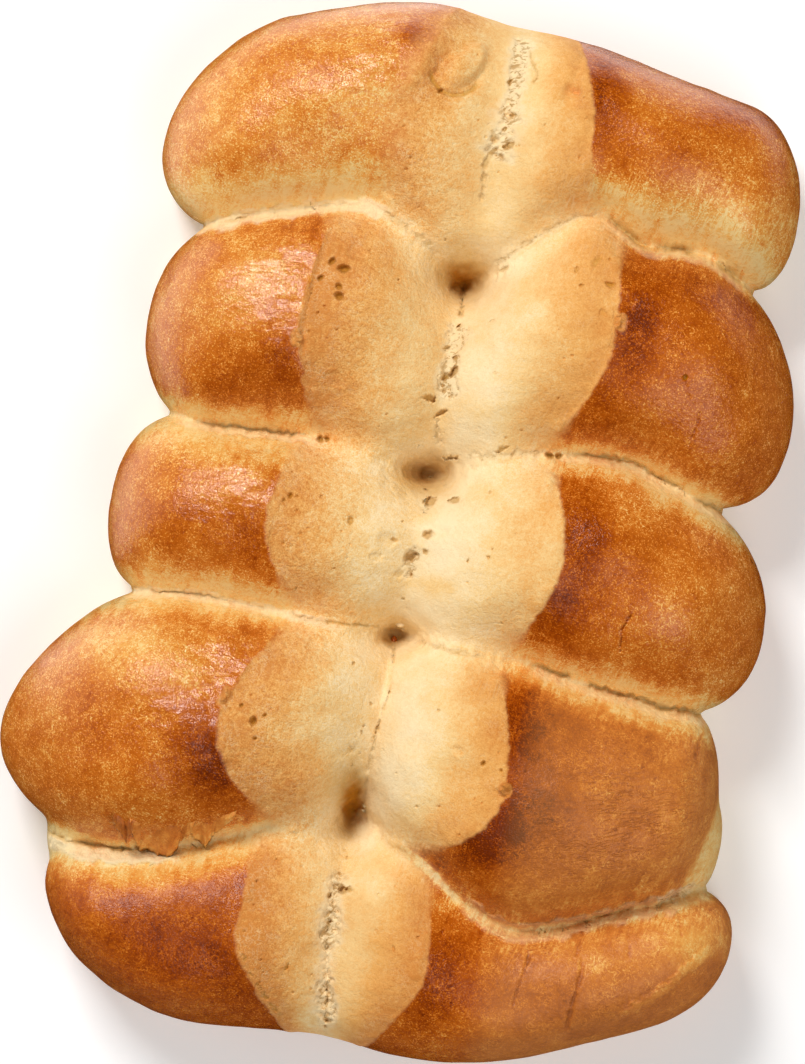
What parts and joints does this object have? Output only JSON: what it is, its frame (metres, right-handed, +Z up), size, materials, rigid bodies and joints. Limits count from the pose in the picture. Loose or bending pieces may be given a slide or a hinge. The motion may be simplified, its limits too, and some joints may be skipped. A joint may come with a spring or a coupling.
{
  "type": "pull-apart loaf",
  "caption": "Glazed white pull-apart loaf: plump dough rolls baked side by side into one piece, slit along the middle so that pale faces open between brown ends.",
  "frame": {"origin": "centre of the loaf's box, on the surface that the loaf lies on", "axes": "+Z up; +X along the rolls, to the right in the picture; +Y along the slit, from the front roll to the back one"},
  "size_m": [0.205, 0.2828, 0.0627],
  "materials": {
    "crust": "egg-washed golden-brown bread crust with pale unglazed slit faces, half gloss"
  },
  "bodies": {
    "root": {"loaf": "crust"}
  },
  "joints": []
}
